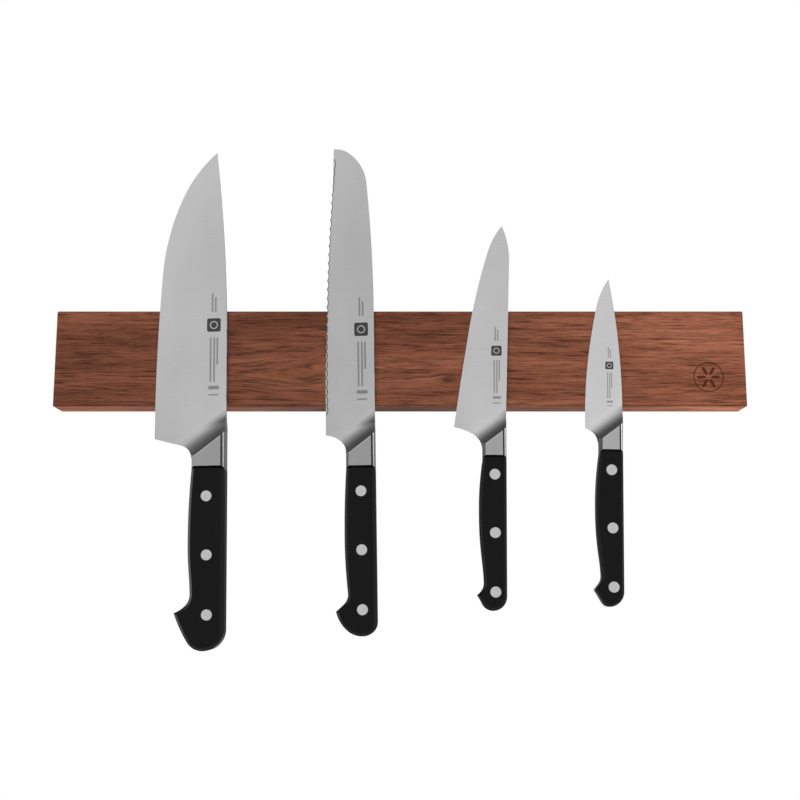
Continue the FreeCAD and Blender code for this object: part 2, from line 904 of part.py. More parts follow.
def make_taper(knife):
    """The ground blade before it is cut to its outline: it thins from the spine to the
    edge, and towards the tip."""
    names = [s[0] for s in BLADE_OUTLINES[knife]]
    places = [("-shoulder - overrun", f"{knife}_edge_heel_across")]
    for name in ("edge_heel", "edge_middle", "edge_front", "tip"):
        if name in names:
            places.append((f"{knife}_{name}_up", f"{knife}_{name}_across"))
    places[-1] = (f"{places[-1][0]} + tip_margin", places[-1][1])
    sections = []
    for number, (up, across) in enumerate(places):
        sketch = free_sketch(f"{knife}_section{number}", FreeCAD.Rotation())
        bind(sketch, "Placement.Base.z", up)
        back = f"({spine_at(knife, up)}) / 2" if number else f"{knife}_spine_thick / 2"
        edge = "edge_thick / 2"
        half = [("spine_margin", back), (f"-({across})", edge), ("-edge_margin", edge)]
        other = [(right, f"-({up_words})") for right, up_words in half[::-1]]
        draw_polygon(sketch, half + other)
        sections.append(sketch)
    loft = doc.addObject("Part::Loft", f"{knife}_taper")
    loft.Sections = sections
    loft.Solid = True
    loft.Ruled = False
    doc.recompute()
    return loft


def make_flares(knife):
    """The hollow shoulders that carry the bolster over into the blade, front and back.
    Each is drawn across the crease where it leaves the bolster, and runs along the face of
    the blade, so that it meets the face smoothly."""
    angle = math.radians(size("crease_angle"))
    across_crease = FreeCAD.Vector(-math.sin(angle), 0, math.cos(angle))
    along_crease = FreeCAD.Vector(math.cos(angle), 0, math.sin(angle))
    rotation = FreeCAD.Rotation(across_crease, FORWARD, along_crease, "ZXY")
    sketch = free_sketch(f"{knife}_flare_profile", rotation)
    bind(sketch, "Placement.Base.x", f"-{knife}_crease_across")
    bind(sketch, "Placement.Base.z", f"{knife}_crease_up")

    width = f"({knife}_edge_heel_across + spine_margin)"
    slope = f"({knife}_spine_thick - edge_thick) / 2 / {width}"
    depth = f"({knife}_edge_heel_across - {knife}_crease_across)"
    fall = f"{slope} * sin(crease_angle)"
    start = f"edge_thick / 2 + {slope} * {depth} - flare_sink"
    end = f"{knife}_flare_length"
    half = f"{knife}_handle_thick / 2"
    draw_outline(
        sketch,
        [
            ("-flare_reach", "flare_core", "line", False),
            ("-flare_reach", f"{half} + flare_lip", "line", False),
            ("-flare_lip", f"{half} + flare_lip", "line", False),
            ("0", half, "arc", False),
            (end, f"{start} - {fall} * {end}", "line", True),
            (f"{end} + overrun", f"{start} - {fall} * ({end} + overrun)", "line", False),
            (f"{end} + overrun", "0", "line", False),
            ("0", "flare_core", "line", False),
        ],
    )
    direction = along_crease + FORWARD * (worth(slope) * math.cos(angle))
    front = extrude(f"{knife}_flare_front", sketch, "2 * flare_reach", direction)
    back = doc.addObject("Part::Mirroring", f"{knife}_flare_back")
    back.Source = front
    back.Normal = FreeCAD.Vector(0, 1, 0)
    doc.recompute()
    return [front, back]


def make_bolster_limit(knife):
    """The space that the steel may fill: the bolster's edges are rounded at the spine and
    bevelled along the neck, like the scales below them."""
    half = f"{knife}_handle_thick / 2"
    spine = f"-{knife}_inset"
    neck = f"-{knife}_neck_across"
    bevel = f"{knife}_scale_bevel"
    side = f"{half} - bolster_round"
    sketch = free_sketch(f"{knife}_limit", FreeCAD.Rotation())
    draw_outline(
        sketch,
        [
            ("-edge_margin", f"-({half} - {bevel})", "line", False),
            ("-edge_margin", f"{half} - {bevel}", "line", False),
            (neck, f"{half} - {bevel}", "line", False),
            (f"{neck} + {bevel}", half, "line", False),
            (f"{spine} - bolster_round", half, "arc", True),
            (spine, side, "line", False),
            ("spine_margin", side, "line", False),
            ("spine_margin", f"-({side})", "line", False),
            (spine, f"-({side})", "arc", False),
            (f"{spine} - bolster_round", f"-({half})", "line", True),
            (f"{neck} + {bevel}", f"-({half})", "line", False),
            (neck, f"-({half} - {bevel})", "line", False),
        ],
    )
    return extrude(f"{knife}_limit_solid", sketch, f"2 * ({knife}_tip_up + edge_margin)")


def make_scallops():
    """The cones that grind the scallops of the bread knife's edge, from its front. They
    stand on the arc of the edge."""
    rise = "(bread_edge_front_up - bread_edge_heel_up)"
    fall = "(bread_edge_heel_across - bread_edge_front_across)"
    sweep = f"({rise} ^ 2 + {fall} ^ 2) / (2 * {fall})"
    body = new_body("bread_scallops")
    sketch = body_sketch(body, "scallop_centre", raised="-edge_thick / 2")
    bind(sketch, "AttachmentOffset.Base.x", f"-bread_edge_heel_across + {sweep}")
    bind(sketch, "AttachmentOffset.Base.y", "bread_edge_heel_up")
    reach = f"({sweep} + scallop_radius - scallop_depth)"
    climb = "(scallop_top - bread_edge_heel_up)"
    draw_circle(sketch, "scallop_radius", f"0 - ({reach} ^ 2 - {climb} ^ 2) ^ 0.5", climb)
    cone = pad(body, sketch, "scallop_length")
    bind(cone, "TaperAngle", "scallop_flare")
    doc.recompute()
    pattern = body.newObject("PartDesign::PolarPattern", "scallop_row")
    pattern.Originals = [cone]
    pattern.Axis = (sketch, ["N_Axis"])
    angle = f"(scallop_count - 1) * scallop_pitch / ({sweep}) * 180 / pi"
    bind(pattern, "Angle", angle)
    bind(pattern, "Occurrences", "scallop_count")
    body.Tip = pattern
    doc.recompute()
    return body


def knife_place(knife):
    """Where a knife sits: turned so that the back of its tapered blade lies flat on the
    bar, leaned to its side, and set off the bar by a hair."""
    rise = size(f"{knife}_spine_thick") / 2 - size("edge_thick") / 2
    run = size(f"{knife}_edge_heel_across") + size("spine_margin")
    turn = math.atan2(rise, run)
    flat = FreeCAD.Rotation(UPWARD, -math.degrees(turn))
    lean = FreeCAD.Rotation(FORWARD, size(f"{knife}_lean"))
    face = size("edge_thick") / 2 * math.cos(turn)
    face += size(f"{knife}_edge_heel_across") * math.sin(turn)
    back = -size("bar_depth") - size("blade_gap") - face
    seat = FreeCAD.Vector(size(f"{knife}_seat_right"), back, size(f"{knife}_seat_up"))
    return FreeCAD.Placement(seat, lean * flat)


def draw_rivets(sketch, knife, radius):
    """Draws a circle at each rivet of a handle, from the bolster down."""
    for step in range(int(size("rivet_count"))):
        right = f"0 - {knife}_rivet_across + {step} * {knife}_rivet_slant"
        draw_circle(sketch, radius, right, f"{knife}_rivet_up - {step} * {knife}_rivet_pitch")


def make_blade(knife, handle):
    """Blade, bolster and full tang, forged in one piece."""
    outline = free_sketch(f"{knife}_outline")
    draw_outline(outline, blade_stations(knife))
    thick = f"{knife}_handle_thick"
    plate = extrude(f"{knife}_plate", outline, thick)
    ground = join(f"{knife}_ground", [make_taper(knife), *make_flares(knife)])
    limited = common(f"{knife}_limited", ground, make_bolster_limit(knife))
    head = common(f"{knife}_head", limited, plate)
    seat = extrude(f"{knife}_seat", handle, f"{thick} + 2 * overrun")
    shouldered = cut(f"{knife}_shouldered", head, seat)
    tang = extrude(f"{knife}_tang", handle, f"{knife}_tang_thick")
    whole = join(f"{knife}_whole", [shouldered, tang])
    holes = free_sketch(f"{knife}_tang_holes")
    draw_rivets(holes, knife, "sleeve_radius + screw_slack")
    blade = cut(f"{knife}_drilled", whole, extrude(f"{knife}_drills", holes, thick))
    if knife == "bread":
        blade = cut("bread_scalloped", blade, make_scallops())
    blade.Label = f"{knife}_blade"
    return blade


def rivet_circles(body, knife, name, radius, raised):
    """A sketch of the rivets of a handle."""
    sketch = body_sketch(body, f"{body.Name}_{name}", raised=raised)
    draw_rivets(sketch, knife, radius)
    return sketch


def make_scale(knife, side):
    """One handle scale, bevelled round its outer face except at the bolster."""
    body = new_body(f"{knife}_{side}_scale")
    half = f"{knife}_handle_thick / 2"
    depth = f"({knife}_handle_thick - {knife}_tang_thick) / 2"
    front = side == "front"
    base = f"{knife}_tang_thick / 2" if front else f"-({half})"
    sketch = body_sketch(body, f"{body.Name}_outline", raised=base)
    draw_outline(sketch, handle_stations(knife))
    pad(body, sketch, depth)
    outer = half if front else f"-({half})"
    hole = "sleeve_radius + screw_slack"
    head = f"{knife}_rivet_head + screw_slack"
    through = rivet_circles(body, knife, "holes", hole, outer)
    pocket(body, through, f"{depth} + overrun", into_wall=front)
    seats = rivet_circles(body, knife, "seats", head, outer)
    drilled = pocket(body, seats, "head_depth", into_wall=front)
    face = worth(half) * (-1 if front else 1)
    bevel = body.newObject("PartDesign::Chamfer", f"{body.Name}_bevel")
    rim = edges_on(drilled.Shape, lambda p: abs(p.y - face) < NEAR and p.z < -NEAR)
    bevel.Base = (drilled, rim)
    bind(bevel, "Size", f"{knife}_scale_bevel")
    doc.recompute()
    return body


def make_pins(knife):
    """The solid halves of the rivets, with their heads at the front."""
    body = new_body(f"{knife}_rivet_pins")
    half = f"{knife}_handle_thick / 2"
    head = f"{knife}_rivet_head"
    heads = rivet_circles(body, knife, "heads", head, f"{half} - head_depth")
    pad(body, heads, "head_depth")
    end = f"-({half} - head_depth - pin_end_gap)"
    shanks = rivet_circles(body, knife, "shanks", "pin_radius", end)
    pad(body, shanks, f"{knife}_handle_thick - 2 * head_depth - pin_end_gap")
    return body


def make_sleeves(knife):
    """The hollow halves of the rivets, with their heads at the back."""
    body = new_body(f"{knife}_rivet_sleeves")
    half = f"{knife}_handle_thick / 2"
    heads = rivet_circles(body, knife, "heads", f"{knife}_rivet_head", f"-({half})")
    pad(body, heads, "head_depth")
    inner = f"-({half} - head_depth)"
    tubes = rivet_circles(body, knife, "tubes", "sleeve_radius", inner)
    pad(body, tubes, f"{knife}_handle_thick - 2 * head_depth")
    bore = "pin_radius + screw_slack"
    bores = rivet_circles(body, knife, "bores", bore, f"{half} - head_depth")
    length = f"{knife}_handle_thick - 2 * head_depth - pin_end_gap / 2"
    pocket(body, bores, length, into_wall=True)
    return body


def make_knife(knife):
    """Every sub-part of one knife, set in its place on the bar."""
    handle = free_sketch(f"{knife}_handle")
    draw_outline(handle, handle_stations(knife))
    parts = [
        make_blade(knife, handle),
        make_scale(knife, "front"),
        make_scale(knife, "back"),
        make_pins(knife),
        make_sleeves(knife),
    ]
    for part in parts:
        part.Placement = knife_place(knife)
    doc.recompute()
    return parts


# ---- the whole -----------------------------------------------------------------------


def check(parts):
    """Stops if an object failed, or a sub-part has no sound shape."""
    for thing in doc.Objects:
        if "Invalid" in thing.State or "Error" in thing.State:
            raise ValueError(f"{thing.Name} failed: {thing.State}")
    for part in parts:
        if part.Shape.isNull() or not part.Shape.isValid() or not part.Shape.Solids:
            raise ValueError(f"{part.Label} has no sound shape")


def main():
    fill_sheet(all_dimensions())
    parts = make_bar()
    for knife in KNIFE_SIZES:
        parts += make_knife(knife)
    doc.recompute()
    check(parts)
    os.makedirs("parts", exist_ok=True)
    for part in parts:
        part.Shape.exportStep(f"parts/{part.Label}.step")
        box = part.Shape.BoundBox
        print(
            f"{part.Label:24s} {len(part.Shape.Solids):3d} solids"
            f" {part.Shape.Volume / 1000:9.3f} cm3"
            f"  x {box.XMin:8.2f} {box.XMax:8.2f}  y {box.YMin:7.2f} {box.YMax:7.2f}"
            f"  z {box.ZMin:8.2f} {box.ZMax:8.2f}"
        )


main()
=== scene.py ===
import math

import bpy
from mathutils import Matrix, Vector


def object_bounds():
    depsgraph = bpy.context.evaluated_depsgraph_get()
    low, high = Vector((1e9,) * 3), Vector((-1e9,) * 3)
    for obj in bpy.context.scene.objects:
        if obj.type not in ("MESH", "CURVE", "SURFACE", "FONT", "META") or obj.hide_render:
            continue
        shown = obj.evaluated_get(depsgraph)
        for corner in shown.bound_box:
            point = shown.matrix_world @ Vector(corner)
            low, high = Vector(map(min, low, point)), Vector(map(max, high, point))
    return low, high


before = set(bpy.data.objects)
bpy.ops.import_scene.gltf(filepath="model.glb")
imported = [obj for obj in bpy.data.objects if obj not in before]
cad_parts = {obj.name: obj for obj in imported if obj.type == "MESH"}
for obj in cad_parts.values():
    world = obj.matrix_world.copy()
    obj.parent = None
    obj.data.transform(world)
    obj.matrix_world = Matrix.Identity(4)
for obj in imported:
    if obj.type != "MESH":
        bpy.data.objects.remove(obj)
cad_box = [list(corner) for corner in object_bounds()]

# A walnut magnetic knife bar with four forged knives. Metres; the bar's back lies on y = 0
# and its front faces -Y. Sizes below that start with a knife's name belong to that knife.

KNIVES = ("chef", "bread", "utility", "paring")

# The bar's length, and where its front and its underside lie.
BAR_LENGTH = 0.468
BAR_FRONT = -0.022
BAR_UNDERSIDE = -0.033

# Where the bar's grain parts: centre, reach and strength, right and up.
SWIRL = ((-0.0644, -0.0087), (0.034, 0.013), 0.8)
KNOT = ((0.0339, -0.0149), (0.010, 0.0048), 0.9)

# The burnt rosette near the right end: its middle, right and up, and its radius.
ROSETTE_CENTRE = (0.2086, -0.0128)
ROSETTE_RADIUS = 0.0104

# Where the spine of each knife leaves its bolster, right and up, and how far the tip leans
# to the left, in degrees. Marks on the steel are placed from there.
SEATS = {
    "chef": (-0.1156, -0.0738, 1.00),
    "bread": (-0.0162, -0.0735, 0.94),
    "utility": (0.0711, -0.0668, -0.62),
    "paring": (0.1485, -0.0631, -1.35),
}

# Where the crease between bolster and blade lies in each knife: how far from the spine and
# how high, one of its points. It climbs towards the spine at the same angle in all.
CREASES = {
    "chef": (0.0113, 0.0138),
    "bread": (0.01075, 0.01365),
    "utility": (0.00915, 0.0116),
    "paring": (0.00915, 0.01105),
}
CREASE_ANGLE = math.radians(37.4)

# Painted light: how much lighter or darker each knife's steel is painted than the others, blade
# and bolster, by how the light falls on it.
PAINTED_LIGHT_BY_KNIFE = {
    "chef": (1.00, 0.96),
    "bread": (0.90, 0.95),
    "utility": (1.05, 1.08),
    "paring": (1.16, 1.20),
}

# The etched mark of each blade: how far from the spine and how high its middle is, and
# half its width.
ETCHED = {
    "chef": (0.0091, 0.0967, 0.0047),
    "bread": (0.0087, 0.0935, 0.0047),
    "utility": (0.0066, 0.0717, 0.0035),
    "paring": (0.0084, 0.0578, 0.0027),
}

# Heights above the seat of a knife: the rim of the tang gets painted shade below the first, the
# neck's bevel is painted dark below the second, the edge is ground above the third; BLEND is how
# softly.
TANG_SHADE_TOP = -0.0022
NECK_SHADE_TOP = 0.024
GROUND_FROM = 0.026
BLEND = 0.004

# Rivets further apart than this are different rivets. The bright head ends at the seam.
RIVET_GAP = 0.01
RIVET_SEAM = 0.0034
SEAM_SOFT = 0.0002

# Further off than anything in the model, for a range that is open on one side.
FAR = 1.0


# ---- shader building -----------------------------------------------------------------


class Nodes:
    """An emptied node tree and short ways of adding nodes to it."""

    def __init__(self, owner):
        owner.use_nodes = True
        self.tree = owner.node_tree
        self.tree.nodes.clear()

    def new(self, kind):
        return self.tree.nodes.new(kind)

    def link(self, source, target):
        self.tree.links.new(source, target)

    def feed(self, socket, value):
        """Sets an input to a number or colour, or links it to another node's output."""
        if isinstance(value, bpy.types.NodeSocket):
            self.link(value, socket)
        else:
            socket.default_value = value

    def math(self, operation, *values, clamp=False):
        node = self.new("ShaderNodeMath")
        node.operation = operation
        node.use_clamp = clamp
        for socket, value in zip(node.inputs, values):
            self.feed(socket, value)
        return node.outputs[0]

    def ramp(self, value, stops):
        """A colour for each value; a stop is a position and a grey or a colour."""
        node = self.new("ShaderNodeValToRGB")
        self.feed(node.inputs[0], value)
        elements = node.color_ramp.elements
        while len(elements) < len(stops):
            elements.new(0.5)
        for element, (position, colour) in zip(elements, stops):
            grey = isinstance(colour, (int, float))
            element.position = position
            element.color = (colour, colour, colour, 1) if grey else (*colour, 1)
        return node.outputs[0]

    def mix(self, share, first, second, blend="MIX"):
        node = self.new("ShaderNodeMix")
        node.data_type = "RGBA"
        node.blend_type = blend
        self.feed(node.inputs["Factor"], share)
        for socket, value in ((node.inputs["A"], first), (node.inputs["B"], second)):
            colour = isinstance(value, tuple) and len(value) == 3
            self.feed(socket, (*value, 1) if colour else value)
        return node.outputs["Result"]

    def times(self, colour, factor):
        """A colour multiplied by a grey or by another colour."""
        return self.mix(1.0, colour, factor, "MULTIPLY")

    def axes(self, place):
        node = self.new("ShaderNodeSeparateXYZ")
        self.link(place, node.inputs[0])
        return node.outputs


class Shader(Nodes):
    """A material with one principled surface."""

    def __init__(self, name):
        self.material = bpy.data.materials.new(name)
        super().__init__(self.material)
        output = self.new("ShaderNodeOutputMaterial")
        self.surface = self.new("ShaderNodeBsdfPrincipled")
        self.link(self.surface.outputs["BSDF"], output.inputs["Surface"])
        coords = self.new("ShaderNodeTexCoord")
        self.place = coords.outputs["Object"]
        self.facing = coords.outputs["Normal"]

    def moved(self, scale=(1, 1, 1), shift=(0, 0, 0), turn=0.0, source=None):
        """The place on the surface, shifted, turned about Y and stretched."""
        node = self.new("ShaderNodeMapping")
        node.vector_type = "POINT"
        self.feed(node.inputs["Vector"], source or self.place)
        node.inputs["Location"].default_value = shift
        node.inputs["Rotation"].default_value = (0, turn, 0)
        node.inputs["Scale"].default_value = scale
        return node.outputs[0]

    def noise(self, place, scale, detail=3.0, roughness=0.5, distortion=0.0):
        node = self.new("ShaderNodeTexNoise")
        self.feed(node.inputs["Vector"], place)
        node.inputs["Scale"].default_value = scale
        node.inputs["Detail"].default_value = detail
        node.inputs["Roughness"].default_value = roughness
        node.inputs["Distortion"].default_value = distortion
        return node.outputs["Fac"]

    def bump(self, height, distance, strength=1.0):
        node = self.new("ShaderNodeBump")
        node.inputs["Strength"].default_value = strength
        node.inputs["Distance"].default_value = distance
        self.feed(node.inputs["Height"], height)
        self.link(node.outputs[0], self.surface.inputs["Normal"])

    def set(self, **values):
        """Sets sockets of the surface, with _ for a space in their names."""
        for name, value in values.items():
            socket = self.surface.inputs[name.replace("_", " ")]
            colour = isinstance(value, tuple) and len(value) == 3
            self.feed(socket, (*value, 1) if colour else value)


def inside(shader, value, low, high, soft):
    """1 where a value lies between two limits, 0 outside, with soft edges."""
    up = shader.math("DIVIDE", shader.math("SUBTRACT", value, low), soft, clamp=True)
    down = shader.math("DIVIDE", shader.math("SUBTRACT", high, value), soft, clamp=True)
    return shader.math("MULTIPLY", up, down)


# ---- materials -----------------------------------------------------------------------


def parted(s, place, centre, reach, strength):
    """A place with the grain parted round a knot, and how near the knot it is."""
    x, y, z = s.axes(place)
    right = s.math("DIVIDE", s.math("SUBTRACT", x, centre[0]), reach[0])
    up = s.math("SUBTRACT", z, centre[1])
    rise = s.math("DIVIDE", up, reach[1])
    far = s.math("ADD", s.math("MULTIPLY", right, right), s.math("MULTIPLY", rise, rise))
    near = s.math("EXPONENT", s.math("MULTIPLY", far, -1.0))
    pull = s.math("MULTIPLY", s.math("MULTIPLY", up, near), strength)
    node = s.new("ShaderNodeCombineXYZ")
    for socket, value in zip(node.inputs, (x, y, s.math("SUBTRACT", z, pull))):
        s.feed(socket, value)
    return node.outputs[0], near


def walnut():
    """Oiled walnut: grain along the bar that parts round a small knot and a wide swirl,
    short dark flecks, open pores, and a plain rosette burnt in near the right end."""
    s = Shader("walnut")
    x, y, z = s.axes(s.place)
    swirled = parted(s, s.place, *SWIRL)[0]
    place, knot = parted(s, swirled, *KNOT)
    broad = s.noise(s.moved(scale=(0.8, 3.2, 8.5), source=place), 5.5, 3, 0.55, 0.6)
    grain = s.noise(s.moved(scale=(2.6, 26, 60), source=place), 6.0, 4, 0.6, 0.4)
    fleck = s.noise(s.moved(scale=(12, 150, 205), source=place), 5.0, 2, 0.6, 0.3)
    pores = s.noise(s.moved(scale=(26, 420, 520), source=place), 5.0, 2, 0.5)

    dark, middle, light = (0.140, 0.044, 0.023), (0.240, 0.082, 0.044), (0.340, 0.128, 0.072)
    colour = s.ramp(broad, ((0.28, dark), (0.5, middle), (0.74, light)))
    streak = s.ramp(grain, ((0.30, 0.66), (0.48, 0.97), (0.68, 1.18)))
    colour = s.times(colour, streak)
    dashes = s.ramp(fleck, ((0.33, 0.42), (0.45, 0.88), (0.56, 1.06), (0.72, 1.26)))
    colour = s.times(colour, dashes)
    along = s.math("DIVIDE", s.math("ADD", x, BAR_LENGTH / 2), BAR_LENGTH)
    paler = s.ramp(along, ((0.05, 1.01), (0.40, 1.11), (0.60, 1.22), (0.78, 1.38), (0.95, 1.67)))
    colour = s.times(colour, paler)
    pore = s.ramp(pores, ((0.30, 1.0), (0.40, 0.0)))
    colour = s.mix(s.math("MULTIPLY", pore, 0.45), colour, (0.034, 0.0115, 0.0070))
    core = s.ramp(knot, ((0.55, 0.0), (0.95, 0.45)))
    colour = s.mix(core, colour, (0.055, 0.021, 0.013))

    # The lower front edge is darker, and the underside has painted light and shade: painted
    # lighter towards both ends and painted shade in the middle.
    low = inside(s, z, BAR_UNDERSIDE + 0.0003, BAR_UNDERSIDE + 0.0013, 0.0003)
    arris = s.math("MULTIPLY", low, inside(s, y, -FAR, BAR_FRONT + 0.0012, 0.0003))
    colour = s.mix(s.math("MULTIPLY", arris, 0.5), colour, (0.060, 0.022, 0.014))
    under = s.math("MULTIPLY", s.math("SUBTRACT", z, BAR_UNDERSIDE + 0.0001), -1e4, clamp=True)
    underside_light = s.ramp(along, ((0.05, 1.91), (0.40, 0.45), (0.70, 0.76), (0.95, 1.70)))
    colour = s.mix(under, colour, s.times(colour, underside_light))

    burnt = rosette(s, ROSETTE_CENTRE, ROSETTE_RADIUS)
    colour = s.mix(s.math("MULTIPLY", burnt, 0.86), colour, (0.066, 0.0165, 0.0080))
    depth = s.math("SUBTRACT", s.math("MULTIPLY", fleck, 0.5), s.math("MULTIPLY", pore, 0.5))
    depth = s.math("SUBTRACT", depth, s.math("MULTIPLY", burnt, 1.2))
    s.set(Base_Color=colour, Roughness=s.ramp(grain, ((0.3, 0.62), (0.7, 0.48))))
    s.set(Specular_IOR_Level=0.12)
    s.bump(depth, 0.00018, 0.5)
    return s.material


def rosette(s, centre, radius):
    """A plain ring round a six-petalled flower, on the front of the bar only."""
    x, y, z = s.axes(s.place)
    right = s.math("SUBTRACT", x, centre[0])
    up = s.math("SUBTRACT", z, centre[1])
    square = s.math("ADD", s.math("MULTIPLY", right, right), s.math("MULTIPLY", up, up))
    reach = s.math("DIVIDE", s.math("SQRT", square), radius)
    angle = s.math("ARCTAN2", up, right)
    petal = s.math("ABSOLUTE", s.math("COSINE", s.math("MULTIPLY", angle, 3.0)))
    edge = s.math("MULTIPLY", s.math("POWER", petal, 2.2), 0.78)
    flower = inside(s, s.math("SUBTRACT", reach, edge), -2.0, 0.0, 0.03)
    flower = s.math("MULTIPLY", flower, inside(s, reach, 0.17, 2.0, 0.03))
    ring = inside(s, reach, 0.91, 1.0, 0.02)
    front = inside(s, y, -FAR, BAR_FRONT + 0.0005, 0.0002)
    return s.math("MULTIPLY", s.math("MAXIMUM", ring, flower), front)


def blade_steel(knife):
    """Satin steel ground across the blade, with painted shade where it swells into the bolster,
    painted dark lines at the neck, bolster and tang, and a plain etched mark beside the spine."""
    s = Shader(f"{knife}_blade_steel")
    right, up, lean = SEATS[knife]
    turn = math.radians(lean)
    cosine, sine = math.cos(turn), math.sin(turn)
    shift = (-(right * cosine + up * sine), 0, right * sine - up * cosine)
    local = s.moved(shift=shift, turn=turn)
    x, _y, z = s.axes(local)

    lines = s.noise(s.moved(scale=(14, 400, 2600), source=local), 1.0, 4, 0.7)
    cloud = s.noise(s.moved(scale=(18, 18, 9), source=local), 1.0, 2, 0.5)
    tone = s.ramp(cloud, ((0.3, (0.69, 0.69, 0.695)), (0.7, (0.79, 0.79, 0.792))))
    tone = s.times(tone, s.ramp(lines, ((0.3, 0.955), (0.7, 1.03))))
    # Painted highlight and shade round the crease, and each knife painted lighter or darker by
    # how the light falls on it.
    tone = s.times(tone, flare_light_and_shade(s, x, z, CREASES[knife], PAINTED_LIGHT_BY_KNIFE[knife]))

    # Painted shade: the neck's bevel on the cutting side is painted dark.
    spineward, backward, _up = s.axes(s.facing)
    edgeward = s.math("MULTIPLY", spineward, -1.0)
    neck_shade = s.math("DIVIDE", s.math("SUBTRACT", NECK_SHADE_TOP, z), BLEND, clamp=True)
    tone = s.mix(neck_shade, tone, s.times(tone, s.ramp(edgeward, ((0.50, 1.0), (0.62, 0.13)))))

    # The ground facets of the cutting edge scatter more than the flat of the blade.
    ground = s.math("DIVIDE", s.math("SUBTRACT", z, GROUND_FROM), BLEND, clamp=True)
    facet = s.math("MULTIPLY", s.ramp(edgeward, ((0.12, 0.0), (0.25, 1.0))), ground)
    tone = s.mix(facet, tone, s.times(tone, (0.45, 0.45, 0.45)))

    # Painted shade: the rim of the tang is painted dim, between the handle's two scales.
    below = s.math("MULTIPLY", s.math("SUBTRACT", z, TANG_SHADE_TOP), -1000.0)
    tone = s.times(tone, s.ramp(below, ((0.0, 1.0), (0.6, 0.20))))

    # Painted shade: a dark line is painted down the bolster where its spine edge starts to round.
    spine_shade_band = inside(s, spineward, 0.01, 0.46, 0.06)
    line = s.math("MULTIPLY", spine_shade_band, inside(s, z, -0.0015, 0.03, 0.0005))
    tone = s.mix(line, tone, s.times(tone, (0.10, 0.10, 0.10)))

    # The mark is on the front only.
    across, height, half = ETCHED[knife]
    mark = etched_mark(s, x, z, (-across, height), half)
    mark = s.math("MULTIPLY", mark, s.math("MULTIPLY", backward, -2.0, clamp=True))
    s.set(Base_Color=s.mix(s.math("MULTIPLY", mark, 0.9), tone, (0.02, 0.02, 0.022)))
    s.set(Metallic=1.0)
    satin = s.ramp(lines, ((0.3, 0.27), (0.7, 0.37)))
    s.set(Roughness=s.mix(facet, satin, (0.75, 0.75, 0.75)))
    s.bump(lines, 0.00002, 0.35)
    return s.material


def flare_light_and_shade(s, x, z, crease, painted_light):
    """Painted light and shade on the steel: darker on the bolster, a painted highlight along the
    crease, painted shade in the hollow just above it, then slowly lighter up to the ground blade."""
    sideways = s.math("MULTIPLY", s.math("ADD", x, crease[0]), -math.sin(CREASE_ANGLE))
    upwards = s.math("MULTIPLY", s.math("SUBTRACT", z, crease[1]), math.cos(CREASE_ANGLE))
    above = s.math("ADD", sideways, upwards)
    share = s.math("DIVIDE", s.math("ADD", above, 0.002), 0.020, clamp=True)
    blade, bolster = painted_light
    return s.ramp(share, (
        (0.000, 0.65 * bolster), (0.075, 0.65 * bolster), (0.085, 0.88), (0.098, 0.88),
        (0.112, 0.36), (0.220, 0.44), (0.430, 0.74), (0.660, 1.05 * blade), (1.000, blade),
    ))


def etched_mark(s, x, z, centre, half):
    """A small dark plate with rounded corners and a light ring in it, and plain hairlines
    in rows above and below it."""
    right = s.math("DIVIDE", s.math("SUBTRACT", x, centre[0]), half)
    up = s.math("DIVIDE", s.math("SUBTRACT", z, centre[1]), half)
    square = s.math("ADD", s.math("MULTIPLY", right, right), s.math("MULTIPLY", up, up))
    corner = s.math("ADD", s.math("POWER", s.math("ABSOLUTE", right), 9.0),
                    s.math("POWER", s.math("ABSOLUTE", up), 9.0))
    plate = inside(s, corner, -1.0, 1.0, 0.08)
    ring = inside(s, s.math("SQRT", square), 0.42, 0.60, 0.05)
    mark = s.math("SUBTRACT", plate, ring, clamp=True)
    above = ((-0.22, 1.9, 4.8), (0.25, 1.9, 4.2))
    below = ((-0.44, -8.4, -1.8), (0.08, -8.4, -1.8), (0.53, -5.9, -1.8))
    foot = ((0.05, 0.80, -9.5, -8.9), (0.05, 0.75, -10.4, -10.1))
    for middle, low, high in above + below:
        line = inside(s, right, middle - 0.15, middle + 0.15, 0.05)
        line = s.math("MULTIPLY", line, inside(s, up, low, high, 0.1))
        mark = s.math("MAXIMUM", mark, s.math("MULTIPLY", line, 0.56))
    for middle, width, low, high in foot:
        block = inside(s, right, middle - width, middle + width, 0.05)
        block = s.math("MULTIPLY", block, inside(s, up, low, high, 0.1))
        mark = s.math("MAXIMUM", mark, s.math("MULTIPLY", block, 0.60))
    return mark


def handle_black():
    """Moulded black handle plastic with a fine satin grain."""
    s = Shader("handle_black")
    grain = s.noise(s.moved(), 1600, 3, 0.6)
    cloud = s.noise(s.moved(), 40, 2, 0.5)
    s.set(Base_Color=s.ramp(cloud, ((0.35, 0.0036), (0.65, 0.0052))))
    s.set(Roughness=s.ramp(cloud, ((0.3, 0.38), (0.7, 0.45))))
    # Its two side walls shine less than its faces.
    sideways = s.math("ABSOLUTE", s.axes(s.facing)[0])
    s.set(Specular_IOR_Level=s.ramp(sideways, ((0.80, 0.16), (0.95, 0.05))))
    s.bump(grain, 0.00002, 0.25)
    return s.material


def midway(values):
    return (max(values) + min(values)) / 2


def rivet_axes(knife):
    """Where the axes of a handle's three rivets lie, right and up."""
    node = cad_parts[f"{knife}_rivet_pins"]
    points = [node.matrix_world @ vertex.co for vertex in node.data.vertices]
    points.sort(key=lambda point: point.z)
    pins = [[points[0]]]
    for point in points[1:]:
        if point.z - pins[-1][-1].z > RIVET_GAP:
            pins.append([])
        pins[-1].append(point)
    return [(midway([point.x for point in pin]), midway([point.z for point in pin]))
            for pin in pins]


